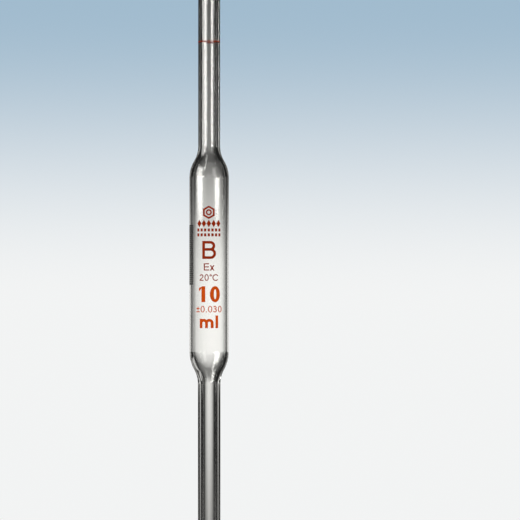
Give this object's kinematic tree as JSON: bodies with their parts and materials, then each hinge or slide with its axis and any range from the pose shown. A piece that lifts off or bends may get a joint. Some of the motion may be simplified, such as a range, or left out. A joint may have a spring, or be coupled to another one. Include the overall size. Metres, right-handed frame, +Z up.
{
  "type": "bulb pipette",
  "caption": "Laboratory bulb pipette: a thin-walled cylindrical glass bulb between a long suction tube with a colour band and a delivery tube drawn down to a fine jet, with enamel print.",
  "frame": {"origin": "centre of the ground end face of the jet, the lowest point of the upright pipette", "axes": "+Z up along the pipette's axis from the jet to the mouth, -Y is the printed side"},
  "size_m": [0.0138, 0.0138, 0.445],
  "materials": {
    "clear_glass": "fire-polished, clear and colourless",
    "brown_enamel": "fired enamel print, satin",
    "orange_enamel": "fired enamel print, satin",
    "red_enamel": "fired enamel print, glossy",
    "black_enamel": "fired enamel print, satin"
  },
  "bodies": {
    "root": {"suction_tube": "clear_glass", "bulb": "clear_glass", "delivery_tube": "clear_glass", "jet": "clear_glass", "ring_mark": "brown_enamel", "colour_band": "red_enamel", "band_number": "red_enamel", "hexagon_mark": "brown_enamel", "lozenge_row": "brown_enamel", "dash_rows": "brown_enamel", "class_letter": "brown_enamel", "delivery_letters": "brown_enamel", "temperature_mark": "brown_enamel", "capacity_number": "orange_enamel", "tolerance_mark": "orange_enamel", "unit_letters": "orange_enamel", "side_code": "black_enamel"}
  },
  "joints": []
}
